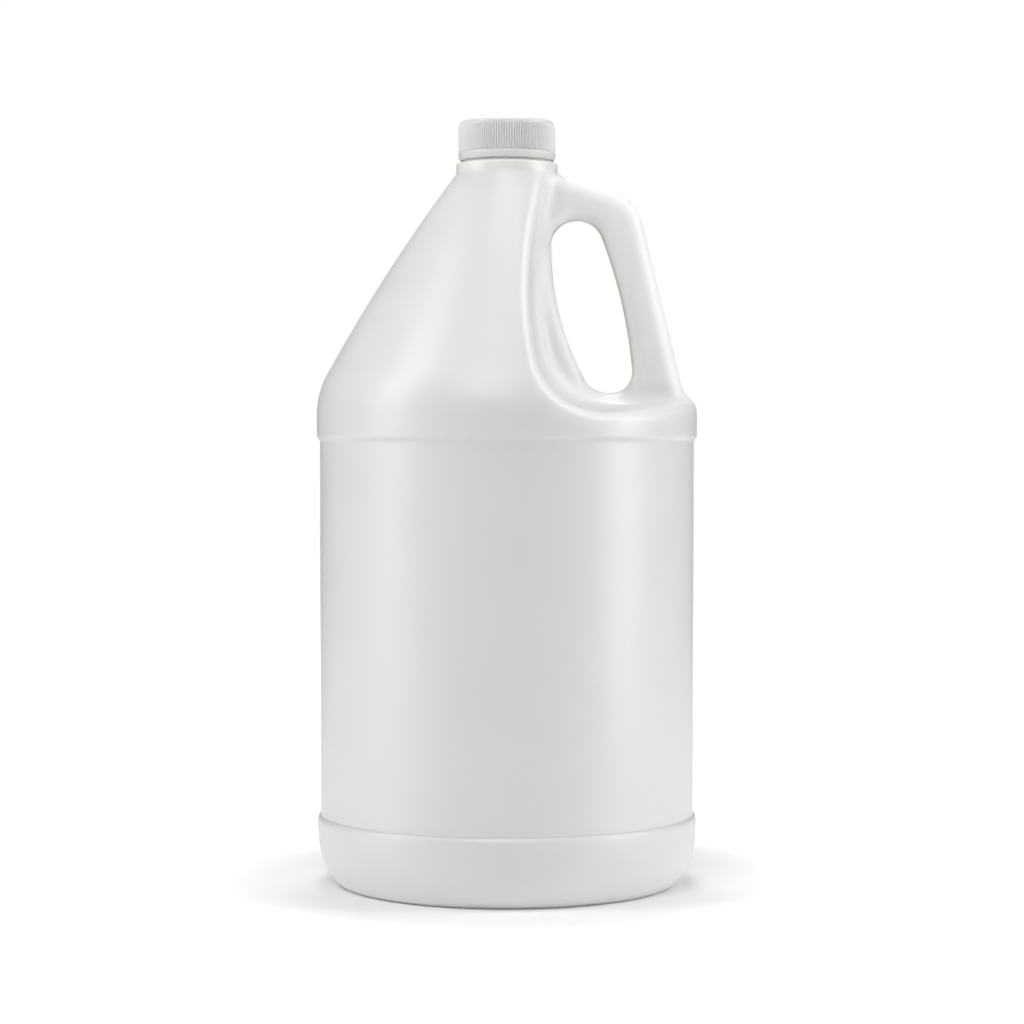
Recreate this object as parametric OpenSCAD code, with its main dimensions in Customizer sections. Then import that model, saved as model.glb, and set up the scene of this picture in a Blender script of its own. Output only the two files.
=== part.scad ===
// Screw-cap jug of about four litres, blow moulded in one piece with a hollow loop handle.
// +Z is up, the origin is the centre of the base on the floor, and the handle points along +X.

/* [Body] */
// Radius of the two rings that stand proud above and below the panel
ring_r = 77; // [72:0.5:82]
// How far the panel is set back from the rings
panel_recess = 1.3; // [0.6:0.1:2.5]
// Wall thickness of the moulding
wall = 1; // [0.8:0.1:1.6]
// Outer radius of the flat band that the jug stands on
foot_r = 62; // [56:0.5:66]
// Width of that band
foot_band = 6; // [3:0.5:10]
// Height of the rounded corner between foot and side
corner_h = 23.5; // [18:0.5:28]
// How far the middle of the base is pushed up
push_up = 4; // [2:0.5:8]
// Height of the base ring's upper edge
base_ring_z = 25.3; // [24:0.1:40]
// Height of one rounded step between a ring and the panel
step_h = 4.4; // [2:0.2:8]
// Height of the shoulder ring's lower edge
shoulder_ring_z = 182.4; // [150:0.2:184]
// Height at which the shoulder starts to turn in
ring_top = 190; // [188:0.5:196]

/* [Shoulder] */
// Radius of the bend from the ring into the cone
bend_r = 33; // [24:1:45]
// Lean of the cone from upright where the bend ends
cone_lean = 28.8; // [24:0.2:31]
// Radius of the cone where it meets the collar
cone_top_r = 21.2; // [20.8:0.1:23]
// Height of the collar's underside
collar_z = 286.6; // [280:0.2:294]

/* [Hand pocket] */
// Distance of the pocket's back wall from the axis, where it stands upright
pocket_x = 11.9; // [9:0.1:15]
// Height at which that wall stands upright
pocket_z = 246; // [236:1:256]
// Radius that the back wall is bowed to, seen from the side
pocket_bow_r = 140; // [110:5:200]
// Height of the pocket's floor above the top of the ring
ledge_rise = 4.5; // [3:0.1:7]
// Roundness of the turn from the back wall to the floor
pocket_turn = 22; // [14:1:28]
// Draft of the pocket's sides, as a slope
draft = 0.09; // [0.05:0.01:0.14]
// Roundness of the pocket's rim
rim_round = 5; // [3:0.5:7]

/* [Handle] */
// Half the width of the handle, across the jug
handle_half = 12.5; // [10:0.25:15]
// Lean of the grip from upright
grip_lean = 13.7; // [11:0.1:16]
// Fall of the top of the handle, from level
top_fall = 15.7; // [12:0.1:20]
// How far inside the ring's edge the grip would land
grip_inset = 3.7; // [2:0.1:6]
// Depth of the grip between the finger gap and the outside
grip_depth = 16.4; // [14:0.1:19]
// Depth of the top of the handle over the finger gap
leg_depth = 13.9; // [12:0.1:16]
// Roundness of the handle's outer bend
elbow_round = 9.7; // [6:0.1:14]
// Edge radius on the outside of the handle
outer_edge_r = 6.5; // [4:0.25:8]
// Edge radius around the finger gap
gap_edge_r = 5; // [3:0.25:6]
// Radius of the finger gap's upper end
gap_top_r = 11; // [9:0.25:13]
// Radius of the finger gap's lower end
gap_low_r = 10.5; // [9:0.25:12]
// How much wider the gap is halfway down, on each side
gap_swell = 2.3; // [0:0.1:3]
// How far the gap's middle line is bowed towards the jug
gap_bow = 0.6; // [0:0.1:1.5]
// Height of the gap's lower end above the pocket's floor
gap_rise = 3.1; // [2:0.1:5]
// Roundness of the handle's roots
root_round = 7; // [4:0.5:10]

/* [Neck] */
// Radius of the collar under the cap
collar_r = 20.5; // [20:0.1:22]
// Height of the collar
collar_h = 4.7; // [3:0.1:6]
// Radius of the mouth's bore
bore_r = 15.4; // [14:0.1:15.6]
// Radius of the neck's wall, between its threads
neck_r = 17.1; // [16.6:0.1:17.4]
// Height of the neck above the collar
neck_h = 14.9; // [13:0.1:17]
// Height of the gap between the collar and the cap
cap_gap = 1.2; // [0.8:0.1:2]

/* [Cap] */
// Radius of the cap's plain band at its lower edge
band_r = 19.75; // [19.4:0.05:20.5]
// Height of that band
band_h = 3.2; // [2:0.1:5]
// Radius of the cap between its ribs
cap_r = 19.15; // [19:0.05:19.3]
// Height of a rib above the cap's side
rib_h = 0.35; // [0.2:0.05:0.6]
// Number of ribs around the cap
rib_count = 120; // [60:1:140]
// Radius inside the cap's skirt
skirt_r = 18.3; // [18.1:0.05:18.4]
// Thickness of the cap's top
cap_top = 1.3; // [1:0.1:2]
// Radius of the cap's upper edge
cap_edge_r = 1.6; // [0.8:0.1:2]
// Thickness of the foam liner
liner_t = 1; // [0.6:0.1:1.6]
// Clearance between the liner and the cap's skirt
liner_gap = 0.3; // [0.1:0.05:0.5]

/* [Hidden] */
$fn = 120;

// Outline of the shoulder, seen from the side: a bend, then an arc that ends at the collar
bend_end_z = ring_top + bend_r * sin(cone_lean);
bend_end_r = ring_r - bend_r * (1 - cos(cone_lean));
cone_rise = collar_z - bend_end_z;
cone_run = bend_end_r - cone_top_r;
cone_chord_lean = atan2(cone_run, cone_rise);
cone_arc_r = norm([cone_run, cone_rise]) / (2 * sin(cone_chord_lean - cone_lean));

// Where the parts of the handle lie, seen from the side: points are [x, z]
pocket_floor = ring_top + ledge_rise;
top_from = [collar_r, collar_z - 0.6];
top_dir = [cos(top_fall), -sin(top_fall)];
top_normal = [sin(top_fall), cos(top_fall)];
grip_from = [ring_r - grip_inset, ring_top];
grip_dir = [-sin(grip_lean), cos(grip_lean)];
grip_normal = [cos(grip_lean), sin(grip_lean)];

// The finger gap's middle line runs parallel to the grip, from its upper centre to its lower one
gap_off = gap_top_r + grip_depth;
line_at = grip_from - gap_off * grip_normal;
gap_top_run = (top_from - line_at) * top_normal - (gap_top_r + leg_depth);
gap_top = line_at + grip_dir * gap_top_run / (grip_dir * top_normal);
gap_low_z = pocket_floor + gap_rise + gap_low_r;
gap_low = line_at + grip_dir * (gap_low_z - line_at.y) / grip_dir.y;
gap_line = gap_low - gap_top;
gap_len = norm(gap_line);

// Heights in the stack from neck to cap
collar_top = collar_z + collar_h;
lip_z = collar_top + neck_h;
cap_z = collar_top + cap_gap;
cap_under = lip_z + liner_t;
cap_top_z = cap_under + cap_top;

// Where the turned lower body, the moulded shoulder and the neck run into each other
seam_low = ring_top - 6.5;
seam_high = ring_top - 4;
shoulder_top = collar_z + 1.9;
sliver = 0.02;
overrun = 1;
search_steps = 15;

// Two surfaces meet in a rounded inside or outside corner over a band of width k
function blend_min(a, b, k) = let(h = max(k - abs(a - b), 0) / k) min(a, b) - h * h * k / 4;
function blend_max(a, b, k) = -blend_min(-a, -b, k);

// Sine of the shoulder's lean from upright at a height, and the shoulder's radius there
function lean_sin(z) = z <= ring_top ? 0
    : z <= bend_end_z ? (z - ring_top) / bend_r
    : sin(cone_lean) + (z - bend_end_z) / cone_arc_r;
function lean_cos(z) = sqrt(1 - pow(lean_sin(z), 2));
function shoulder_r(z) = z <= bend_end_z ? ring_r - bend_r * (1 - lean_cos(z))
    : bend_end_r - cone_arc_r * (cos(cone_lean) - lean_cos(z));

// Distance outside the cone, and distance into the hand pocket, which widens outwards by its draft
function cone_dist(p) = (norm([p.x, p.y]) - shoulder_r(p.z)) * lean_cos(p.z);
function pocket_dist(p) =
    let(back = pocket_bow_r - norm([p.x - pocket_x - pocket_bow_r, p.z - pocket_z]),
        side = blend_min(back, p.z - pocket_floor, pocket_turn))
    side + (abs(p.y) - handle_half) * draft;
function body_dist(p) = blend_max(cone_dist(p), pocket_dist(p), rim_round);

// Centre line and half width of the finger gap, and the distance of a point [x, z] outside it
function gap_centre(t) = gap_top + t * gap_line - gap_bow * 4 * t * (1 - t) * grip_normal;
function gap_half(t) = gap_top_r + t * (gap_low_r - gap_top_r) + gap_swell * 4 * t * (1 - t);
function gap_dist(q) =
    let(t = min(max((q - gap_top) * gap_line / (gap_len * gap_len), 0), 1))
    norm(q - gap_centre(t)) - gap_half(t);

// Depth of a point [x, z] inside the handle's outer outline
function outline_depth(q) =
    blend_min((top_from - q) * top_normal, (grip_from - q) * grip_normal, elbow_round);

// Distance outside the slab that carries the handle and the rim of the gap, with rounded edges
function slab_dist(p) =
    let(q = [p.x, p.z], g = gap_dist(q), o = outline_depth(q),
        edge = g < o ? gap_edge_r : outer_edge_r,
        a = edge - min(g, o), b = abs(p.y) - handle_half + edge)
    norm([max(a, 0), max(b, 0)]) + min(max(a, b), 0) - edge;
function jug_dist(p) = blend_min(body_dist(p), slab_dist(p), root_round);

// Distance along a ray at which a surface is crossed: kind 0 is the body alone, 1 the whole jug
function dist_of(kind, p) = kind == 0 ? body_dist(p) : jug_dist(p);
function crossing(kind, from, dir, near, far, inset, n) = n == 0 ? (near + far) / 2
    : let(mid = (near + far) / 2)
    dist_of(kind, from + mid * dir) < -inset
        ? crossing(kind, from, dir, mid, far, inset, n - 1)
        : crossing(kind, from, dir, near, mid, inset, n - 1);

// Directions around the axis, close together on the handle's side and wide apart behind it
function around(front, back) = concat(
    [for (i = [0:front - 1]) -95 + 190 * i / front],
    [for (i = [0:back - 1]) 95 + 170 * i / back]);

// Closed skin of the shoulder: rays fan out from the axis, steeply at the ledge and level at the neck
module shoulder_skin(inset, z0, z1, front, back, rows) {
    turns = around(front, back);
    n = len(turns);
    reach = ring_r + 3;
    pts = [for (i = [0:rows], t = turns)
        let(s = pow(i / rows, 1.15), z = z0 + s * (z1 - z0),
            drop = 40 * (1 - s * s), from = [0, 0, z - drop],
            side = [cos(t), sin(t), drop / shoulder_r(z)])
        from + side * crossing(0, from, side, 0, reach, inset + sliver, search_steps)];
    grid = [for (i = [0:rows - 1], j = [0:n - 1])
        let(a = i * n + j, b = i * n + (j + 1) % n) each [[a, a + n, b], [b, a + n, b + n]]];
    floor_at = (rows + 1) * n;
    caps = [for (j = [0:n - 1]) each [[floor_at, j, (j + 1) % n],
        [floor_at + 1, rows * n + (j + 1) % n, rows * n + j]]];
    polyhedron(concat(pts, [[0, 0, pts[0].z], [0, 0, pts[rows * n].z]]), concat(grid, caps));
}

// Stations around the finger gap: [centre, direction away from the gap, half width of the gap]
function stations(side, end) = concat(
    [for (i = [0:side - 1]) let(t = i / side) [gap_centre(t), grip_normal, gap_half(t)]],
    [for (i = [0:end - 1]) let(a = 180 * i / end)
        [gap_low, cos(a) * grip_normal - sin(a) * grip_dir, gap_low_r]],
    [for (i = [0:side - 1]) let(t = 1 - i / side) [gap_centre(t), -grip_normal, gap_half(t)]],
    [for (i = [0:end - 1]) let(a = 180 * i / end)
        [gap_top, sin(a) * grip_dir - cos(a) * grip_normal, gap_top_r]]);

// Directions to the points of a rounded section, five on each corner: [away from the gap, across]
section_mid = (grip_depth - gap_swell) / 2;
section_dirs = [for (c = [0:3], i = [0:4])
    let(turn = 90 * c + 22.5 * i, outer = c == 0 || c == 3,
        edge = outer ? outer_edge_r : gap_edge_r,
        v = [(outer ? 1 : -1) * (section_mid - edge) + edge * cos(turn),
            (c < 2 ? 1 : -1) * (handle_half - edge) + edge * sin(turn)])
    v / norm(v)];

// The handle and the rim of the gap, lofted as one closed loop around the gap
module handle_loop(inset, side, end) {
    rings = stations(side, end);
    n = len(rings);
    m = len(section_dirs);
    pts = [for (s = rings, v = section_dirs)
        let(at = s[0] + (s[2] + section_mid) * s[1], from = [at.x, 0, at.y],
            dir = [v.x * s[1].x, v.y, v.x * s[1].y])
        from + dir * crossing(1, from, dir, 0, handle_half + root_round / 2, inset, search_steps)];
    grid = [for (i = [0:n - 1], k = [0:m - 1])
        let(a = i * m + k, b = i * m + (k + 1) % m,
            c = ((i + 1) % n) * m + k, d = ((i + 1) % n) * m + (k + 1) % m)
        each [[a, b, c], [b, d, c]]];
    polyhedron(pts, grid);
}

// Wall of the shoulder, pocket and handle
module shoulder_shell() {
    resize([0, 0, 0]) difference() {
        union() {
            shoulder_skin(0, seam_low, shoulder_top, 58, 18, 26);
            handle_loop(0, 12, 14);
        }
        shoulder_skin(wall, seam_low - overrun, shoulder_top + overrun, 44, 14, 20);
        handle_loop(wall, 8, 9);
        cylinder(r = ring_r - 2 * wall, h = seam_low);
    }
}

// A rounded step in a turned outline, from one [radius, height] to another
function step(a, b) = [for (i = [0:6])
    let(s = (1 - cos(30 * i)) / 2) [a.x + (b.x - a.x) * s, a.y + (b.y - a.y) * i / 6]];

// Outline of the lower body, from the middle of the base to the shoulder, moved in by t
function side_outline(t) = let(r = ring_r - t, p = r - panel_recess, f = foot_r - t * 0.6) concat(
    [[0, push_up + t]],
    step([foot_r - foot_band - 14, push_up + t], [foot_r - foot_band + t * 0.2, t]),
    [for (i = [0:12]) let(a = 90 * i / 12)
        [f + (r - f) * sin(a), t + (corner_h - t) * (1 - cos(a))]],
    step([r, base_ring_z], [p, base_ring_z + step_h]),
    step([p, shoulder_ring_z - step_h], [r, shoulder_ring_z]),
    [[r, seam_high]]);

module lower_body() {
    inner = side_outline(wall);
    rotate_extrude() polygon(concat(side_outline(0),
        [for (i = [len(inner) - 1:-1:0]) inner[i]]));
}

// Neck with its collar, turned around the true bore
module neck() {
    lip = 0.5;
    foot = 0.9;
    rotate_extrude() polygon(concat(
        [[bore_r, lip_z - lip], [bore_r + lip, lip_z], [neck_r - lip, lip_z], [neck_r, lip_z - lip]],
        [for (i = [0:4]) let(a = 90 * i / 4)
            [neck_r + foot * (1 - cos(a)), collar_top + foot * (1 - sin(a))]],
        [for (i = [0:5]) let(a = 90 * i / 5)
            [collar_r - 1.2 * (1 - sin(a)), collar_top - 1.2 * (1 - cos(a))]],
        [[collar_r, collar_z], [bore_r + 1.1, collar_z], [bore_r, collar_z + 1.4]]));
}

module jug() {
    color("#eef0ef") {
        lower_body();
        shoulder_shell();
        neck();
    }
}

// One tooth of the ribbed side, as four points of the ribbed ring's outline
function rib_points(i) = let(pitch = 360 / rib_count, low = cap_r - 0.1, top = cap_r + rib_h)
    [for (f = [[0.04, low], [0.3, top], [0.7, top], [0.96, low]])
        f.y * [cos(pitch * (i + f.x)), sin(pitch * (i + f.x))]];

module cap() {
    side = cap_r - cap_edge_r;
    color("#f4f5f4") {
        rotate_extrude() polygon(concat(
            [[0, cap_under], [skirt_r, cap_under], [skirt_r, cap_z + 0.5], [skirt_r + 0.5, cap_z],
                [band_r - 0.3, cap_z], [band_r, cap_z + 0.3], [band_r, cap_z + band_h - 0.4],
                [band_r - 0.4, cap_z + band_h], [cap_r, cap_z + band_h]],
            [for (i = [0:6]) let(a = 15 * i)
                [side + cap_edge_r * cos(a), cap_top_z - cap_edge_r * (1 - sin(a))]],
            [[0, cap_top_z]]));
        translate([0, 0, cap_z + band_h - 0.3]) difference() {
            linear_extrude(cap_top_z - cap_edge_r - cap_z - band_h + 0.3)
                polygon([for (i = [0:rib_count - 1]) each rib_points(i)]);
            translate([0, 0, -overrun]) cylinder(r = skirt_r + 0.4, h = cap_top_z);
        }
    }
}

module liner() {
    color("#fafaf8") translate([0, 0, lip_z]) cylinder(r = skirt_r - liner_gap, h = liner_t);
}

jug();
cap();
liner();
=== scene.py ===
import math
import bpy
import numpy as np
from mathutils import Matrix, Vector


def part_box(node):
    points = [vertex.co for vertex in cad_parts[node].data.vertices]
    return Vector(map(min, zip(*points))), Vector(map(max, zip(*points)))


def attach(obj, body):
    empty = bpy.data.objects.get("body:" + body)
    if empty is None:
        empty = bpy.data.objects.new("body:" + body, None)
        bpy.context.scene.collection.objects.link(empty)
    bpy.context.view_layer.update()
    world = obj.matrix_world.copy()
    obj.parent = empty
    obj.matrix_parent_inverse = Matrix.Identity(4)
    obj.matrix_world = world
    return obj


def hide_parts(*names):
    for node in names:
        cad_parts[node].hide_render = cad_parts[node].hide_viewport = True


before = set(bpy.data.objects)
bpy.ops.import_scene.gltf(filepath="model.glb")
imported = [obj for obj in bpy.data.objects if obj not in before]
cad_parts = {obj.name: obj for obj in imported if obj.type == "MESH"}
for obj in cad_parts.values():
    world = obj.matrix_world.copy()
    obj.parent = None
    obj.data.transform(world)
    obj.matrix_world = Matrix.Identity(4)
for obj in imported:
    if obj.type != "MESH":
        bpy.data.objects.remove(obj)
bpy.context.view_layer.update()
jugLow, jugHigh = (np.array(v) * 1000 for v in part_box("jug"))
capLow, capHigh = (np.array(v) * 1000 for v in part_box("cap"))
linerLow, linerHigh = (np.array(v) * 1000 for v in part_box("liner"))

print("frame loaded with", len(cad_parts), "nodes")

# Shapes are worked out in millimetres and turned to metres as they go into the mesh
metre = 0.001

# Body of the jug: the rings are as wide as the CAD piece
body = {
    "ringRadius": jugHigh[0], "panelRecess": 1.3, "wall": 1.0,
    "baseRing": 25.6, "step": 2.8, "shoulderRing": 181.5, "ringTop": 190,
    "rowsUnderStep": [0.2, 0.8, 2.4], "rowsOverRing": [3.2, 1.4, 0.5, 0.15],
    "footRadius": 66, "footBand": 10, "footShare": 0.6, "bandShare": 0.2, "cornerHeight": 25.6,
    "pushUp": 4, "pushUpRun": 14, "middleRun": 24, "middleRise": 0.3, "poleRadius": 8, "poleRise": 0.4,
}
shoulder = {"bend": 33, "lean": math.radians(28.8), "topRadius": 20.9, "collarZ": 286.6}
pocket = {"backX": 11.9, "backZ": 246, "bow": 140, "rise": 4.5, "turn": 22, "draft": 0.09, "rim": 5}
handle = {
    "startX": 5, "topDrop": 0.6, "half": 12.5, "gripLean": math.radians(13.7), "topFall": math.radians(15.7),
    "gripInset": 3.7, "gripDepth": 16.4, "legDepth": 13.9, "elbow": 9.7, "outerEdge": 6.5, "gapEdge": 5,
    "gapTop": 11, "gapLow": 10.5, "gapSwell": 2.3, "gapBow": 0.6, "gapRise": 3.1, "root": 7,
    "rootLow": 4, "rootRise": 9,
}
neck = {
    "collarRadius": 20.5, "collarHeight": 4.7, "collarEdge": 0.5, "collarUnder": 0.8, "collarJoin": 0.6,
    "beadRadius": 18.2, "beadHeight": 1.6, "radius": 17.1, "lipZ": jugHigh[2], "lipEdge": 0.5,
    "boreRadius": 15.4, "boreJoin": 1.2, "boreRows": 7, "boreDown": 1.2, "hollowOver": 0.4,
    "threadPitch": 4.23, "threadTurns": 1.3, "threadHeight": 0.9, "threadLow": 296.6, "threadWidth": 2.3,
    "threadFade": 0.06, "threadFlank": 0.45,
}


def blendMin(a, b, k):
    # smaller of two distances, rounded over a band of width k where they meet
    h = np.maximum(k - np.abs(a - b), 0) / k
    return np.minimum(a, b) - h * h * k / 4


def blendMax(a, b, k):
    # larger of two distances, rounded the same way
    return -blendMin(-a, -b, k)


def unit(angle):
    # direction at an angle in the side view
    return np.array([math.cos(angle), math.sin(angle)])


# Side view of the shoulder: a bend, then an arc that ends at the collar
bendZ = body["ringTop"] + shoulder["bend"] * math.sin(shoulder["lean"])
bendR = body["ringRadius"] - shoulder["bend"] * (1 - math.cos(shoulder["lean"]))
coneRise = shoulder["collarZ"] - bendZ
coneRun = bendR - shoulder["topRadius"]
coneArc = math.hypot(coneRun, coneRise) / (2 * math.sin(math.atan2(coneRun, coneRise) - shoulder["lean"]))

# Side view of the handle: outline from the collar's foot to the ring, and the finger gap's middle line
pocketFloor = body["ringTop"] + pocket["rise"]
topFrom = np.array([neck["collarRadius"], shoulder["collarZ"] - handle["topDrop"]])
topNormal = np.array([math.sin(handle["topFall"]), math.cos(handle["topFall"])])
gripFrom = np.array([body["ringRadius"] - handle["gripInset"], body["ringTop"]])
gripNormal = unit(handle["gripLean"])
gripAlong = np.array([-gripNormal[1], gripNormal[0]])
lineAt = gripFrom - (handle["gapTop"] + handle["gripDepth"]) * gripNormal
topRun = (topFrom - lineAt) @ topNormal - (handle["gapTop"] + handle["legDepth"])
gapTop = lineAt + gripAlong * topRun / (gripAlong @ topNormal)
gapLowZ = pocketFloor + handle["gapRise"] + handle["gapLow"]
gapLow = lineAt + gripAlong * (gapLowZ - lineAt[1]) / gripAlong[1]
gapLine = gapLow - gapTop
gapLength = math.hypot(*gapLine)


def coneDistance(x, y, z):
    # distance outside the cone: radius less the outline's radius at that height, times the lean's cosine
    s = np.where(z < bendZ, (z - body["ringTop"]) / shoulder["bend"],
                 math.sin(shoulder["lean"]) + (z - bendZ) / coneArc)
    c = np.sqrt(1 - np.clip(s, 0, 0.9) ** 2)
    radius = np.where(z < bendZ, body["ringRadius"] - shoulder["bend"] * (1 - c),
                      bendR - coneArc * (math.cos(shoulder["lean"]) - c))
    return (np.hypot(x, y) - radius) * c


def pocketDistance(x, y, z):
    # distance into the hand pocket: a bowed back wall turned into a floor, both opened outwards by the draft
    back = pocket["bow"] - np.hypot(x - pocket["backX"] - pocket["bow"], z - pocket["backZ"])
    side = blendMin(back, z - pocketFloor, pocket["turn"])
    return side + (np.abs(y) - handle["half"]) * pocket["draft"]


def slabDistance(x, y, z):
    # distance outside a flat slab with rounded edges, between the finger gap and the handle's outline: the gap
    # is a round-ended slot that swells and bows towards the middle, the outline two straight lines with an elbow
    t = np.clip(((x - gapTop[0]) * gapLine[0] + (z - gapTop[1]) * gapLine[1]) / gapLength ** 2, 0, 1)
    swell = 4 * t * (1 - t)
    cx = gapTop[0] + t * gapLine[0] - handle["gapBow"] * swell * gripNormal[0]
    cz = gapTop[1] + t * gapLine[1] - handle["gapBow"] * swell * gripNormal[1]
    half = handle["gapTop"] + t * (handle["gapLow"] - handle["gapTop"]) + handle["gapSwell"] * swell
    gap = np.hypot(x - cx, z - cz) - half
    top = (topFrom[0] - x) * topNormal[0] + (topFrom[1] - z) * topNormal[1]
    grip = (gripFrom[0] - x) * gripNormal[0] + (gripFrom[1] - z) * gripNormal[1]
    outline = blendMin(top, grip, handle["elbow"])
    edge = np.where(gap < outline, handle["gapEdge"], handle["outerEdge"])
    a = edge - np.minimum(gap, outline)
    b = np.abs(y) - handle["half"] + edge
    slab = np.hypot(np.maximum(a, 0), np.maximum(b, 0)) + np.minimum(np.maximum(a, b), 0) - edge
    return np.maximum(slab, handle["startX"] - x)


def bodyDistance(x, y, z):
    # cone less the pocket, with a rounded rim
    return blendMax(coneDistance(x, y, z), pocketDistance(x, y, z), pocket["rim"])


def jugDistance(x, y, z):
    # the body joined to the handle by rounded roots, which grow from nothing above the upper ring so that the
    # ring stays round under the handle
    grow = np.clip((z - body["ringTop"] + handle["rootLow"]) / handle["rootRise"], 0.01, 1)
    return blendMin(bodyDistance(x, y, z), slabDistance(x, y, z), handle["root"] * grow)


def outerDistance(x, y, z):
    # the jug with the collar sitting on it
    collar = blendMax(np.hypot(x, y) - neck["collarRadius"], shoulder["collarZ"] - z, neck["collarUnder"])
    return blendMin(jugDistance(x, y, z), collar, neck["collarJoin"])


def innerDistance(x, y, z):
    # the hollow: the jug's outside moved in by the wall, joined to the bore of the neck
    hollow = np.maximum(jugDistance(x, y, z) + body["wall"], z - shoulder["collarZ"] - neck["hollowOver"])
    return blendMin(hollow, np.hypot(x, y) - neck["boreRadius"], neck["boreJoin"])


def surfaceNet(distance, xs, ys, zs):
    # one point in each cell that the surface crosses, and one quad around each cell edge that it crosses
    gx, gy, gz = np.meshgrid(xs, ys, zs, indexing="ij")
    value = distance(gx, gy, gz)
    grid = np.stack([gx, gy, gz], -1)
    inside = value < 0
    cells = np.array(value.shape) - 1
    found = []
    for axis in range(3):
        low = tuple(slice(0, -1) if k == axis else slice(None) for k in range(3))
        high = tuple(slice(1, None) if k == axis else slice(None) for k in range(3))
        crossed = inside[low] != inside[high]
        t = (value[low][crossed] / (value[low][crossed] - value[high][crossed]))[:, None]
        point = grid[low][crossed] * (1 - t) + grid[high][crossed] * t
        u, v = (axis + 1) % 3, (axis + 2) % 3
        around = np.repeat(np.argwhere(crossed)[:, None, :], 4, axis=1)
        around[:, [1, 2], u] -= 1
        around[:, [2, 3], v] -= 1
        flip = ~inside[low][crossed]
        around[flip] = around[flip][:, ::-1]
        found.append((around, np.repeat(point[:, None, :], 4, axis=1)))
    around = np.concatenate([f[0] for f in found]).astype(np.int64)
    point = np.concatenate([f[1] for f in found])
    valid = np.all((around >= 0) & (around < cells), axis=2)
    code = (around[..., 0] * cells[1] + around[..., 1]) * cells[2] + around[..., 2]
    used, index = np.unique(code[valid], return_inverse=True)
    count = np.bincount(index)
    verts = np.stack([np.bincount(index, point[valid][:, k]) / count for k in range(3)], -1)
    whole = valid.all(axis=1)
    quads = np.searchsorted(used, code[whole])
    layer = used % cells[2]
    return verts, quads, layer


def settle(distance, verts, quads, layer, zs, rounds):
    # points are eased towards their neighbours and put back on the surface, the two rims staying level
    a = quads.ravel()
    b = np.roll(quads, 1, axis=1).ravel()
    a, b = np.concatenate([a, b]), np.concatenate([b, a])
    rim = (layer == 0) | (layer == layer.max())
    keep = ~rim[a] | rim[b]
    a, b = a[keep], b[keep]
    verts[layer == 0, 2] = (zs[0] + zs[1]) / 2
    verts[layer == layer.max(), 2] = (zs[-1] + zs[-2]) / 2
    degree = np.maximum(np.bincount(a, minlength=len(verts)), 1)
    eps = 0.02
    share = 0.5
    flattest = 0.2
    for step in range(rounds):
        if step < rounds - 2:
            mean = np.stack([np.bincount(a, verts[b, k], len(verts)) for k in range(3)], -1) / degree[:, None]
            verts += share * (mean - verts)
        x, y, z = verts.T
        value = distance(x, y, z)
        slope = np.stack([
            distance(x + eps, y, z) - distance(x - eps, y, z),
            distance(x, y + eps, z) - distance(x, y - eps, z),
            distance(x, y, z + eps) - distance(x, y, z - eps)], -1) / (2 * eps)
        slope[rim, 2] = 0
        size = np.maximum((slope ** 2).sum(axis=1), flattest)
        verts -= slope * (np.clip(value, -1, 1) / size)[:, None]
    return verts


def rimOrder(verts, layer, which):
    # points of one rim in order of angle
    rim = np.flatnonzero(layer == which)
    angle = np.arctan2(verts[rim, 1], verts[rim, 0])
    order = np.argsort(angle)
    return rim[order], angle[order]


def turned(profile, angle):
    # a profile of [radius, height] rows carried around the axis at the given angles
    r, z = np.asarray(profile, float).T
    return np.stack([np.outer(r, np.cos(angle)), np.outer(r, np.sin(angle)),
                     np.outer(z, np.ones_like(angle))], -1)


def ringQuads(rows):
    # quads between rows of point numbers, each row closed on itself
    a, b = rows[:-1], rows[1:]
    quads = np.stack([a, np.roll(a, -1, 1), np.roll(b, -1, 1), b], -1)
    return quads.reshape(-1, 4)


def zipper(lowRing, lowAngle, highRing, highAngle):
    # triangles between two rings of points around one axis, each new one at the next angle in order
    lowNext = np.roll(lowRing, -1)
    highNext = np.roll(highRing, -1)
    highAt = highRing[np.searchsorted(highAngle, np.roll(lowAngle, -1) + 1e-9) - 1]
    highAt[-1] = highRing[np.searchsorted(highAngle, lowAngle[0] + 1e-9) - 1]
    lowAt = lowRing[np.searchsorted(lowAngle, np.roll(highAngle, -1) - 1e-9) - 1]
    lowAt[-1] = lowRing[np.searchsorted(lowAngle, highAngle[0] - 1e-9) - 1]
    return np.concatenate([np.stack([lowRing, lowNext, highAt], -1),
                           np.stack([lowAt, highNext, highRing], -1)])


def easeStep(a, b, n=7):
    # a rounded step in a profile from [radius, height] a to b
    s = np.linspace(0, 1, n + 1)
    return np.stack([a[0] + (b[0] - a[0]) * (1 - np.cos(math.pi * s)) / 2, a[1] + (b[1] - a[1]) * s], -1)


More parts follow.
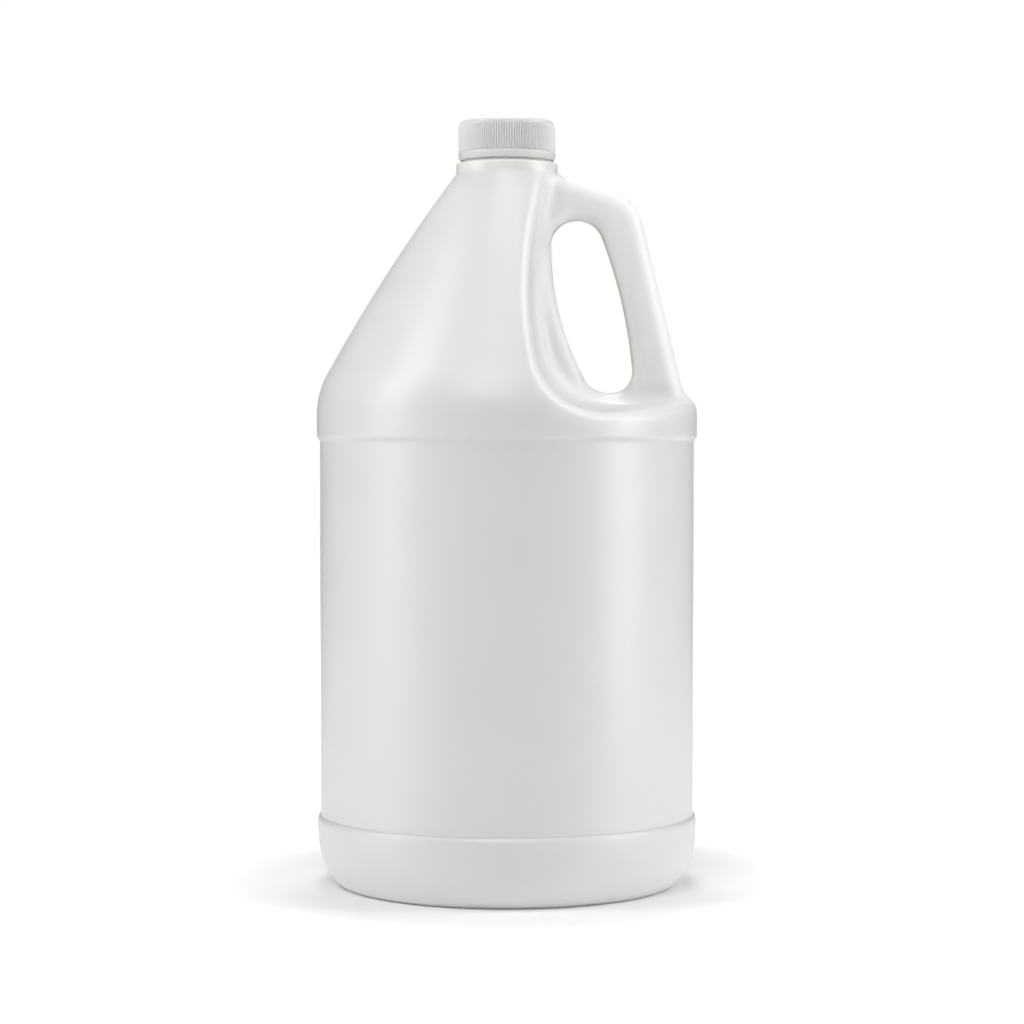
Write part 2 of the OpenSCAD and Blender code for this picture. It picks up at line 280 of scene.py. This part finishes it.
def sideProfile(t, start):
    # profile of the lower body moved in by t, from the seam under the shoulder down to the middle of the base:
    # a soft step in to the panel, a crisp lip out to the lower ring, a quarter-ellipse corner and a push-up
    r = body["ringRadius"] - t
    p = r - body["panelRecess"]
    f = body["footRadius"] - t * body["footShare"]
    band = body["footRadius"] - body["footBand"]
    lip = np.linspace(math.pi / 2, 0, 7)
    a = np.linspace(math.pi / 2, 0, 15)[1:]
    corner = np.stack([f + (r - f) * np.sin(a), t + (body["cornerHeight"] - t) * (1 - np.cos(a))], -1)
    panelTop, panelLow = body["shoulderRing"] - body["step"], body["baseRing"] + body["step"]
    between = np.linspace(panelTop, panelLow, 6)[1:-1]
    panel = np.concatenate([panelTop - np.array(body["rowsUnderStep"]), between,
                            panelLow + np.array(body["rowsOverRing"])])
    under = body["pushUp"] + t
    return np.concatenate([
        [[r, start - 0.8]],
        easeStep([r, body["shoulderRing"]], [p, panelTop]),
        np.stack([np.full(len(panel), p), panel], -1),
        np.stack([p + (r - p) * np.cos(lip), body["baseRing"] + body["step"] * np.sin(lip)], -1),
        corner,
        easeStep([band + t * body["bandShare"], t], [band - body["pushUpRun"], under]),
        [[band - body["middleRun"], under + body["middleRise"]],
         [body["poleRadius"], under + body["poleRise"]]]])


def threadRidge(angle, z, low, turns, width, height):
    # height of a helical ridge at an angle and height: a rounded crest that fades in and out at its ends
    pitch = neck["threadPitch"]
    best = np.zeros(np.broadcast(angle, z).shape)
    for lap in range(3):
        turn = (angle % (2 * math.pi)) / (2 * math.pi) + lap
        off = np.abs(z - low - pitch * turn) / (width / 2)
        fade = np.clip(np.minimum(turn, turns - turn) / neck["threadFade"], 0, 1)
        crest = np.clip((1 - off) / neck["threadFlank"], 0, 1)
        best = np.maximum(best, height * crest * crest * (3 - 2 * crest) * fade)
    return best


def neckRows(angle, lowZ, endZ):
    # collar, bead, neck with its thread, lip and bore, as rows of points around the axis: a turned profile, with
    # the neck's rows moved out by the thread's ridge
    c, n, b = neck["collarRadius"], neck["radius"], neck["boreRadius"]
    top = shoulder["collarZ"] + neck["collarHeight"]
    lip = neck["lipZ"]
    a = np.linspace(0, math.pi / 2, 7)
    e = neck["collarEdge"]
    collarEdge = np.stack([c - e + e * np.cos(a), top - e + e * np.sin(a)], -1)
    bead, beadTop = neck["beadRadius"], top + neck["beadHeight"]
    foot = np.array([[bead, top], [bead, beadTop - 0.3], [bead - 0.1, beadTop - 0.1], [bead - 0.3, beadTop],
                     [n + 0.3, beadTop], [n + 0.1, beadTop + 0.1], [n, beadTop + 0.3]])
    w = neck["lipEdge"]
    wallZ = np.arange(beadTop + 0.6, lip - w, 0.3)
    wall = np.stack([np.full(len(wallZ), n), wallZ], -1)
    lipEdge = np.stack([n - w + w * np.cos(a), lip - w + w * np.sin(a)], -1)
    boreEdge = np.stack([b + w - w * np.sin(a), lip - w + w * np.cos(a)], -1)
    boreZ = np.linspace(lip - neck["boreDown"], endZ, neck["boreRows"])
    bore = np.stack([np.full(len(boreZ), b), boreZ], -1)
    profile = np.concatenate([[[c, lowZ + 0.3]], collarEdge, foot, wall, lipEdge, boreEdge, bore])
    rows = turned(profile, angle)
    first = 1 + len(collarEdge) + len(foot)
    ridge = threadRidge(angle[None, :], wallZ[:, None], neck["threadLow"], neck["threadTurns"],
                        neck["threadWidth"], neck["threadHeight"])
    scale = (n + ridge) / n
    rows[first:first + len(wallZ), :, :2] *= scale[..., None]
    return rows


def makeMesh(name, verts, groups):
    # a smooth mesh from points in millimetres and groups of faces, each group an array of point numbers
    mesh = bpy.data.meshes.new(name)
    faces = [face for group in groups for face in np.asarray(group).tolist()]
    mesh.from_pydata((np.asarray(verts) * metre).tolist(), [], faces)
    mesh.polygons.foreach_set("use_smooth", [True] * len(mesh.polygons))
    mesh.update()
    piece = bpy.data.objects.new(name, mesh)
    bpy.context.scene.collection.objects.link(piece)
    return piece


# Grids over the shoulder for its two skins: cubes, then flatter cells under the collar
outerGrid = {
    "cell": 1.35, "half": 60, "low": 183.6, "high": 278, "flatLow": 278.5, "flatHigh": 291, "flatCell": 0.7,
    "rounds": 9,
}
innerGrid = {
    "cell": 2.2, "half": 37, "low": 183, "high": 278, "flatLow": 278.8, "flatHigh": 292, "flatCell": 1.2,
    "rounds": 7,
}
# Painted light on the jug: its colour is painted lighter where light would come through from behind, over this
# distance off the round body, and by this share in its dips
paintedGlowReach = {"over": 9, "dipShare": 0.12, "underCollar": 1}


def makePatch(distance, grid):
    # the surface where a distance is nil, found on a grid and settled onto it
    xy = np.arange(-grid["half"], grid["half"] + 1) * grid["cell"]
    zs = np.concatenate([np.arange(grid["low"], grid["high"], grid["cell"]),
                         np.arange(grid["flatLow"], grid["flatHigh"], grid["flatCell"])])
    verts, quads, layer = surfaceNet(distance, xy, xy, zs)
    return settle(distance, verts, quads, layer, zs, grid["rounds"]), quads, layer


def makeJug():
    # two skins a wall apart: the shoulder with its handle on a grid, the lower body and the neck turned from
    # profiles that start at the grid's rims, and a zipper of triangles where the bore meets the inner skin
    outer, outerQuads, outerLayer = makePatch(outerDistance, outerGrid)
    print("outside of the shoulder", len(outer))
    inner, innerQuads, innerLayer = makePatch(innerDistance, innerGrid)
    print("inside of the shoulder", len(inner))
    verts, faces = [outer, inner], [outerQuads, innerQuads[:, ::-1] + len(outer)]
    start = len(outer) + len(inner)

    def addRows(rows):
        nonlocal start
        numbers = start + np.arange(rows.shape[0] * rows.shape[1]).reshape(rows.shape[:2])
        verts.append(rows.reshape(-1, 3))
        start += numbers.size
        return numbers

    def addPole(point, ring, flip):
        nonlocal start
        verts.append(np.array([point]))
        fan = np.stack([ring, np.roll(ring, -1), np.full(len(ring), start)], -1)
        start += 1
        faces.append(fan[:, ::-1] if flip else fan)

    lowRim, lowAngle = rimOrder(outer, outerLayer, 0)
    rows = addRows(turned(sideProfile(0, outer[lowRim[0], 2]), lowAngle))
    rows = np.concatenate([lowRim[None, :], rows])
    faces.append(ringQuads(rows)[:, ::-1])
    addPole([0, 0, body["pushUp"] + body["poleRise"]], rows[-1], True)

    lowRimIn, lowAngleIn = rimOrder(inner, innerLayer, 0)
    rows = addRows(turned(sideProfile(body["wall"], inner[lowRimIn[0], 2]), lowAngleIn))
    rows = np.concatenate([lowRimIn[None, :] + len(outer), rows])
    faces.append(ringQuads(rows))
    addPole([0, 0, body["pushUp"] + body["wall"] + body["poleRise"]], rows[-1], False)

    topRim, topAngle = rimOrder(outer, outerLayer, outerLayer.max())
    topRimIn, topAngleIn = rimOrder(inner, innerLayer, innerLayer.max())
    rows = addRows(neckRows(topAngle, outer[topRim[0], 2], inner[topRimIn[0], 2] + 0.8))
    rows = np.concatenate([topRim[None, :], rows])
    faces.append(ringQuads(rows))
    faces.append(zipper(rows[-1], topAngle, topRimIn + len(outer), topAngleIn))
    verts = np.concatenate(verts)
    piece = makeMesh("blownJug", verts, faces)
    print("jug", sum(len(group) * (group.shape[1] - 2) for group in faces), "triangles")
    # how far a point stands off the round body or dips into it: there the material paints the colour lighter,
    # standing in for light that comes through from behind, and makes the surface rougher
    dip = -coneDistance(*verts.T) * np.where(verts[:, 2] < body["baseRing"], 1, paintedGlowReach["dipShare"])
    paintedGlowAndGrip = np.maximum(bodyDistance(*verts.T), dip) / paintedGlowReach["over"]
    belowCollar = verts[:, 2] < shoulder["collarZ"] - paintedGlowReach["underCollar"]
    paintedGlowAndGrip = np.where(belowCollar, np.clip(paintedGlowAndGrip, 0, 1), 0)
    layer = piece.data.attributes.new("paintedGlowAndGrip", "FLOAT", "POINT")
    layer.data.foreach_set("value", paintedGlowAndGrip.astype(np.float32))
    return piece


cap = {
    "lowZ": capLow[2], "topZ": capHigh[2], "bandRadius": capHigh[0], "bandHeight": 3.2, "radius": 19.0,
    "edge": 1.6, "topRows": [2, 8, 14, 16.6], "skirt": 18.3, "underZ": linerHigh[2], "insideStep": 0.4,
    "ribHeight": 0.6, "ribCount": 120, "columnsPerRib": 6, "ribCrest": 1.9, "ribFlank": 5.2,
    "ribRowsDown": [0.2, 0.7, 1.1], "ribRowsUp": [1.2, 0.5, 0.2],
    "ribEase": [0.35, 0.9, 1, 1, 0.9, 0.5], "edgeEase": [0.08, 0.2],
    "threadHeight": 0.85, "threadWidth": 1.7, "threadDrop": 2.05, "threadTurns": 1.2,
}


def makeCap():
    # profile rows from the middle of the top, down the ribbed side, up the threaded inside and back to the
    # middle, turned about the axis: each rib is a flat crest with sloping flanks that fades out at both its ends
    columns = cap["ribCount"] * cap["columnsPerRib"]
    angle = np.linspace(0, 2 * math.pi, columns, endpoint=False)
    r, top, low = cap["radius"], cap["topZ"], cap["lowZ"]
    e, band = cap["edge"], cap["bandRadius"]
    a = np.linspace(math.pi / 2, 0, 9)
    edge = np.stack([r - e + e * np.cos(a), top - e + e * np.sin(a)], -1)
    bandTop = low + cap["bandHeight"]
    ribZ = np.concatenate([top - e - np.array(cap["ribRowsDown"]), bandTop + np.array(cap["ribRowsUp"])])
    ribs = np.stack([np.full(len(ribZ), r), ribZ], -1)
    # the band tapers in towards its foot
    bandRows = [[r + 0.1, bandTop], [band - 0.35, bandTop - 0.05], [band - 0.1, bandTop - 0.2],
                [band, bandTop - 0.5], [band - 0.15, low + 1.8], [band - 0.5, low + 0.7],
                [band - 0.7, low + 0.25], [band - 0.9, low],
                [cap["skirt"] + 0.3, low], [cap["skirt"], low + 0.3]]
    insideZ = np.arange(low + 1.0, cap["underZ"] - 0.3, cap["insideStep"])
    inside = np.stack([np.full(len(insideZ), cap["skirt"]), insideZ], -1)
    close = [[cap["skirt"], cap["underZ"]], [cap["skirt"] - 0.8, cap["underZ"]], [6, cap["underZ"]]]
    middle = [[x, top] for x in cap["topRows"]]
    profile = np.concatenate([middle, edge, ribs, bandRows, inside, close])
    rows = turned(profile, angle)
    ribAt = len(middle) + len(edge)
    phase = (angle * cap["ribCount"] / (2 * math.pi)) % 1
    rib = np.clip(cap["ribCrest"] - np.abs(phase - 0.5) * cap["ribFlank"], 0, 1)
    height = np.outer(cap["ribEase"], rib * cap["ribHeight"])
    rows[ribAt:ribAt + len(ribs), :, :2] *= ((r + height) / r)[..., None]
    # the ribs run a little way into the rounded edge
    lastEdge = np.outer(cap["edgeEase"], rib * cap["ribHeight"])
    rows[ribAt - 2:ribAt, :, :2] *= ((r + lastEdge) / r)[..., None]
    at = ribAt + len(ribs) + len(bandRows)
    ridge = threadRidge(angle[None, :], insideZ[:, None], neck["threadLow"] - cap["threadDrop"],
                        cap["threadTurns"], cap["threadWidth"], cap["threadHeight"])
    rows[at:at + len(insideZ), :, :2] *= (1 - ridge / cap["skirt"])[..., None]
    count = rows.shape[0] * rows.shape[1]
    numbers = np.arange(count).reshape(rows.shape[:2])
    faces = [ringQuads(numbers)[:, ::-1]]
    for point, ring, flip in (([0, 0, top], numbers[0], False), ([0, 0, cap["underZ"]], numbers[-1], True)):
        fan = np.stack([ring, np.roll(ring, -1), np.full(columns, count)], -1)
        faces.append(fan[:, ::-1] if flip else fan)
        count += 1
    verts = np.concatenate([rows.reshape(-1, 3), [[0, 0, top], [0, 0, cap["underZ"]]]])
    return makeMesh("ribbedCap", verts, faces)


liner = {
    "radius": linerHigh[0], "lowZ": linerLow[2], "highZ": linerHigh[2], "edge": 0.25, "columns": 120,
    "poleRadius": 3, "middleRadius": 12,
}


def makeLiner():
    # a foam disc: its profile, two flat faces with quarter-round edges, turned about the axis
    r, low, high, e = liner["radius"], liner["lowZ"], liner["highZ"], liner["edge"]
    a = np.linspace(0, math.pi / 2, 5)
    upper = np.stack([r - e + e * np.sin(a), high - e + e * np.cos(a)], -1)
    lower = np.stack([r - e + e * np.cos(a), low + e - e * np.sin(a)], -1)
    pole, middle = liner["poleRadius"], liner["middleRadius"]
    profile = np.concatenate([[[pole, high], [middle, high]], upper, lower, [[middle, low], [pole, low]]])
    angle = np.linspace(0, 2 * math.pi, liner["columns"], endpoint=False)
    rows = turned(profile, angle)
    count = rows.shape[0] * rows.shape[1]
    numbers = np.arange(count).reshape(rows.shape[:2])
    top = np.stack([numbers[0], np.roll(numbers[0], -1), np.full(liner["columns"], count)], -1)
    under = np.stack([np.roll(numbers[-1], -1), numbers[-1], np.full(liner["columns"], count + 1)], -1)
    verts = np.concatenate([rows.reshape(-1, 3), [[0, 0, high], [0, 0, low]]])
    return makeMesh("foamLiner", verts, [ringQuads(numbers)[:, ::-1], top, under])


def toLinear(colour):
    # an sRGB hex colour in linear light, with full alpha
    parts = [int(colour[i:i + 2], 16) / 255 for i in (1, 3, 5)]
    return [c / 12.92 if c <= 0.04045 else ((c + 0.055) / 1.055) ** 2.4 for c in parts] + [1]


def addNode(tree, kind, settings=None, links=None):
    # a node with its inputs or properties set by name, and sockets of other nodes linked to its inputs
    node = tree.nodes.new(kind)
    for name, value in (settings or {}).items():
        if isinstance(name, int) or name in node.inputs:
            node.inputs[name].default_value = value
        else:
            setattr(node, name, value)
    for name, socket in (links or {}).items():
        tree.links.new(socket, node.inputs[name])
    return node


def newMaterial(name):
    # an empty node material and its tree
    material = bpy.data.materials.new(name)
    material.use_nodes = True
    tree = material.node_tree
    tree.nodes.clear()
    return material, tree


def blownPolyethylene():
    # blow-moulded HDPE: satin, faintly cloudy, with a fine grain from the blasted mould and soft upright die
    # lines, painted lighter on the hollow handle and in the dips where light would come through from behind, and
    # with the mould's parting line on the plane of the handle
    material, tree = newMaterial("blownPolyethylene")
    place = addNode(tree, "ShaderNodeTexCoord").outputs["Object"]
    grain = addNode(tree, "ShaderNodeTexNoise", {"Scale": 1400, "Detail": 2, "Roughness": 0.6},
                    {"Vector": place})
    stretch = addNode(tree, "ShaderNodeMapping", {"Scale": (260, 260, 6)}, {"Vector": place})
    lines = addNode(tree, "ShaderNodeTexNoise", {"Scale": 1, "Detail": 2}, {"Vector": stretch.outputs[0]})
    cloud = addNode(tree, "ShaderNodeTexNoise", {"Scale": 28, "Detail": 3}, {"Vector": place})
    tone = addNode(tree, "ShaderNodeMix", {"data_type": "RGBA", 6: toLinear("#dadad7"), 7: toLinear("#e1e1de")},
                   {0: cloud.outputs[0]})
    off = addNode(tree, "ShaderNodeAttribute", {"attribute_name": "paintedGlowAndGrip"})
    # painted light: the colour is mixed towards a lighter white where light would come through the walls from
    # behind
    paintedGlowColour = addNode(tree, "ShaderNodeMix", {"data_type": "RGBA", 7: toLinear("#f0f0ed")},
                   {0: off.outputs["Fac"], 6: tone.outputs[2]})
    rough = addNode(tree, "ShaderNodeMapRange", {"To Min": 0.31, "To Max": 0.38}, {"Value": lines.outputs[0]})
    rougher = addNode(tree, "ShaderNodeMath", {"operation": "MULTIPLY_ADD", 1: 0.14},
                      {0: off.outputs["Fac"], 2: rough.outputs[0]})
    across = addNode(tree, "ShaderNodeSeparateXYZ", links={0: place})
    away = addNode(tree, "ShaderNodeMath", {"operation": "ABSOLUTE"}, {0: across.outputs[1]})
    seam = addNode(tree, "ShaderNodeMapRange", {
        "interpolation_type": "SMOOTHSTEP", "From Min": 0.0004, "From Max": 0.0001}, {"Value": away.outputs[0]})
    parting = addNode(tree, "ShaderNodeBump", {"Strength": 0.35, "Distance": 0.00015},
                      {"Height": seam.outputs[0]})
    low = addNode(tree, "ShaderNodeBump", {"Strength": 0.12, "Distance": 0.0003},
                  {"Height": lines.outputs[0], "Normal": parting.outputs[0]})
    bump = addNode(tree, "ShaderNodeBump", {"Strength": 0.10, "Distance": 0.0001},
                   {"Height": grain.outputs[0], "Normal": low.outputs[0]})
    shader = addNode(tree, "ShaderNodeBsdfPrincipled", {
        "IOR": 1.54, "Subsurface Weight": 0.4, "Subsurface Radius": (0.005, 0.005, 0.0045),
        "Subsurface Scale": 1},
        {"Base Color": paintedGlowColour.outputs[2], "Roughness": rougher.outputs[0], "Normal": bump.outputs[0]})
    addNode(tree, "ShaderNodeOutputMaterial", links={"Surface": shader.outputs[0]})
    return material


def mouldedPolypropylene():
    # injection-moulded PP: whiter and a little glossier than the jug, with a finer grain
    material, tree = newMaterial("mouldedPolypropylene")
    place = addNode(tree, "ShaderNodeTexCoord").outputs["Object"]
    grain = addNode(tree, "ShaderNodeTexNoise", {"Scale": 1900, "Detail": 2}, {"Vector": place})
    cloud = addNode(tree, "ShaderNodeTexNoise", {"Scale": 60, "Detail": 2}, {"Vector": place})
    tone = addNode(tree, "ShaderNodeMix", {"data_type": "RGBA", 6: toLinear("#cfcfcd"), 7: toLinear("#d5d5d3")},
                   {0: cloud.outputs[0]})
    rough = addNode(tree, "ShaderNodeMapRange", {"To Min": 0.34, "To Max": 0.42}, {"Value": cloud.outputs[0]})
    bump = addNode(tree, "ShaderNodeBump", {"Strength": 0.08, "Distance": 0.0001}, {"Height": grain.outputs[0]})
    shader = addNode(tree, "ShaderNodeBsdfPrincipled", {"IOR": 1.49, "Subsurface Weight": 0.4,
                     "Subsurface Radius": (0.003, 0.003, 0.003), "Subsurface Scale": 1},
                     {"Base Color": tone.outputs[2], "Roughness": rough.outputs[0], "Normal": bump.outputs[0]})
    addNode(tree, "ShaderNodeOutputMaterial", links={"Surface": shader.outputs[0]})
    return material


def foamedPolyethylene():
    # extruded PE foam: matt, with the skin of closed cells showing as small pits
    material, tree = newMaterial("foamedPolyethylene")
    place = addNode(tree, "ShaderNodeTexCoord").outputs["Object"]
    cells = addNode(tree, "ShaderNodeTexVoronoi", {"Scale": 1600}, {"Vector": place})
    tone = addNode(tree, "ShaderNodeMix", {"data_type": "RGBA", 6: toLinear("#e6e7e3"), 7: toLinear("#f1f1ee")},
                   {0: cells.outputs[0]})
    bump = addNode(tree, "ShaderNodeBump", {"Strength": 0.3, "Distance": 0.0001}, {"Height": cells.outputs[0]})
    shader = addNode(tree, "ShaderNodeBsdfPrincipled", {"IOR": 1.5, "Roughness": 0.7},
                     {"Base Color": tone.outputs[2], "Normal": bump.outputs[0]})
    addNode(tree, "ShaderNodeOutputMaterial", links={"Surface": shader.outputs[0]})
    return material


def dress(piece, material, node, bodyName):
    # a piece gets its material and its moving body, and the CAD node that it stands for is hidden
    piece.data.materials.append(material)
    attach(piece, bodyName)
    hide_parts(node)


dress(makeJug(), blownPolyethylene(), "jug", "jug")
print("jug done")
dress(makeCap(), mouldedPolypropylene(), "cap", "cap")
dress(makeLiner(), foamedPolyethylene(), "liner", "liner")
print("cap and liner done")

# Camera as fitted to the photograph: its lens in pixels of a 1024 pixel frame, and the jug's axis at 506.9
camera = {
    "lensPixels": 2700, "frame": 1024, "scale": 0.4063,
    "axisPixel": 506.9, "horizonPixel": 438, "height": 180.5,
}


def makeCamera():
    # its distance is the lens in pixels times the millimetres a pixel covers there, its tilt the angle whose
    # tangent is the horizon's pixels above the middle over the lens
    data = bpy.data.cameras.new("photoCamera")
    data.sensor_width = 36
    data.lens = camera["lensPixels"] * data.sensor_width / camera["frame"]
    data.clip_start = 0.05
    data.clip_end = 30
    piece = bpy.data.objects.new("photoCamera", data)
    middle = camera["frame"] / 2
    tilt = math.atan((middle - camera["horizonPixel"]) / camera["lensPixels"])
    piece.location = ((middle - camera["axisPixel"]) * camera["scale"] * metre,
                      -camera["lensPixels"] * camera["scale"] * metre, camera["height"] * metre)
    piece.rotation_euler = (math.pi / 2 - tilt, 0, 0)
    bpy.context.scene.collection.objects.link(piece)
    bpy.context.scene.camera = piece


# Softboxes: where each stands in degrees from the front, its height angle, distance, size in metres and watts
lights = {
    "leftSoftbox": {"turn": -72, "rise": 5, "distance": 1.15, "size": (0.45, 0.8), "power": 3.2},
    "leftHighSoftbox": {"turn": -72, "rise": 38, "distance": 1.15, "size": (0.45, 0.8), "power": 5.3},
    "rightSoftbox": {"turn": 72, "rise": 5, "distance": 1.15, "size": (0.45, 0.8), "power": 5.6},
    "rightHighSoftbox": {"turn": 86, "rise": 38, "distance": 1.15, "size": (0.45, 0.8), "power": 5.4},
    "frontSoftbox": {"turn": -13, "rise": 38, "distance": 1.15, "size": (0.65, 0.8), "power": 5.2},
    "topSoftbox": {"turn": 0, "rise": 89, "distance": 1.15, "size": (0.45, 0.8), "power": 3.2},
    "backSoftbox": {"turn": 180, "rise": 60, "distance": 1.15, "size": (0.45, 0.8), "power": 5.5},
}
lightAim = Vector((0, 0, 0.17))


def makeLight(name, turn, rise, distance, size, power):
    # an area lamp at a turn and rise around the aim, facing it
    data = bpy.data.lights.new(name, "AREA")
    data.shape = "RECTANGLE"
    data.size, data.size_y = size
    data.energy = power
    piece = bpy.data.objects.new(name, data)
    a, e = math.radians(turn), math.radians(rise)
    out = Vector((math.sin(a) * math.cos(e), -math.cos(a) * math.cos(e), math.sin(e)))
    piece.location = lightAim + out * distance
    piece.rotation_euler = out.to_track_quat("Z", "Y").to_euler()
    bpy.context.scene.collection.objects.link(piece)


# White table top: the camera sees it fade into plain white at a distance from the jug, in metres
floor = {"half": 3000, "shadowFrom": 0.085, "shadowTo": 0.23, "glowNear": 0.09, "glowFar": 1.0}


def makeFloor():
    # the camera sees a matt white with a glow that grows to full white away from the jug, other rays see plain
    # matt white
    material, tree = newMaterial("tableWhite")
    place = addNode(tree, "ShaderNodeTexCoord").outputs["Object"]
    away = addNode(tree, "ShaderNodeVectorMath", {"operation": "LENGTH"}, {0: place})
    glowing = addNode(tree, "ShaderNodeMapRange", {
        "interpolation_type": "SMOOTHSTEP", "From Min": floor["shadowFrom"], "From Max": floor["shadowTo"],
        "To Min": floor["glowNear"], "To Max": floor["glowFar"]}, {"Value": away.outputs["Value"]})
    glow = addNode(tree, "ShaderNodeEmission", {"Color": toLinear("#ffffff")}, {"Strength": glowing.outputs[0]})
    matt = addNode(tree, "ShaderNodeBsdfDiffuse", {"Color": toLinear("#f6f6f6")})
    shade = addNode(tree, "ShaderNodeBsdfDiffuse", {"Color": toLinear("#e2e2e2")})
    seen = addNode(tree, "ShaderNodeAddShader", links={0: shade.outputs[0], 1: glow.outputs[0]})
    path = addNode(tree, "ShaderNodeLightPath")
    mix = addNode(tree, "ShaderNodeMixShader", links={
        0: path.outputs["Is Camera Ray"], 1: matt.outputs[0], 2: seen.outputs[0]})
    addNode(tree, "ShaderNodeOutputMaterial", links={"Surface": mix.outputs[0]})
    h = floor["half"]
    piece = makeMesh("tableTop", [[-h, -h, 0], [h, -h, 0], [h, h, 0], [-h, h, 0]], [[[0, 1, 2, 3]]])
    piece.data.materials.append(material)


def makeWorld():
    # plain white behind the jug, for the camera only: the lamps alone light the jug
    world = bpy.data.worlds.new("studioWorld")
    bpy.context.scene.world = world
    world.use_nodes = True
    tree = world.node_tree
    tree.nodes.clear()
    path = addNode(tree, "ShaderNodeLightPath")
    white = addNode(tree, "ShaderNodeBackground", {"Color": toLinear("#ffffff")},
                    {"Strength": path.outputs["Is Camera Ray"]})
    addNode(tree, "ShaderNodeOutputWorld", links={"Surface": white.outputs[0]})


makeCamera()
makeFloor()
makeWorld()
for name, light in lights.items():
    makeLight(name, **light)
bpy.context.scene.view_settings.view_transform = "Standard"
print("camera, floor and lights done")
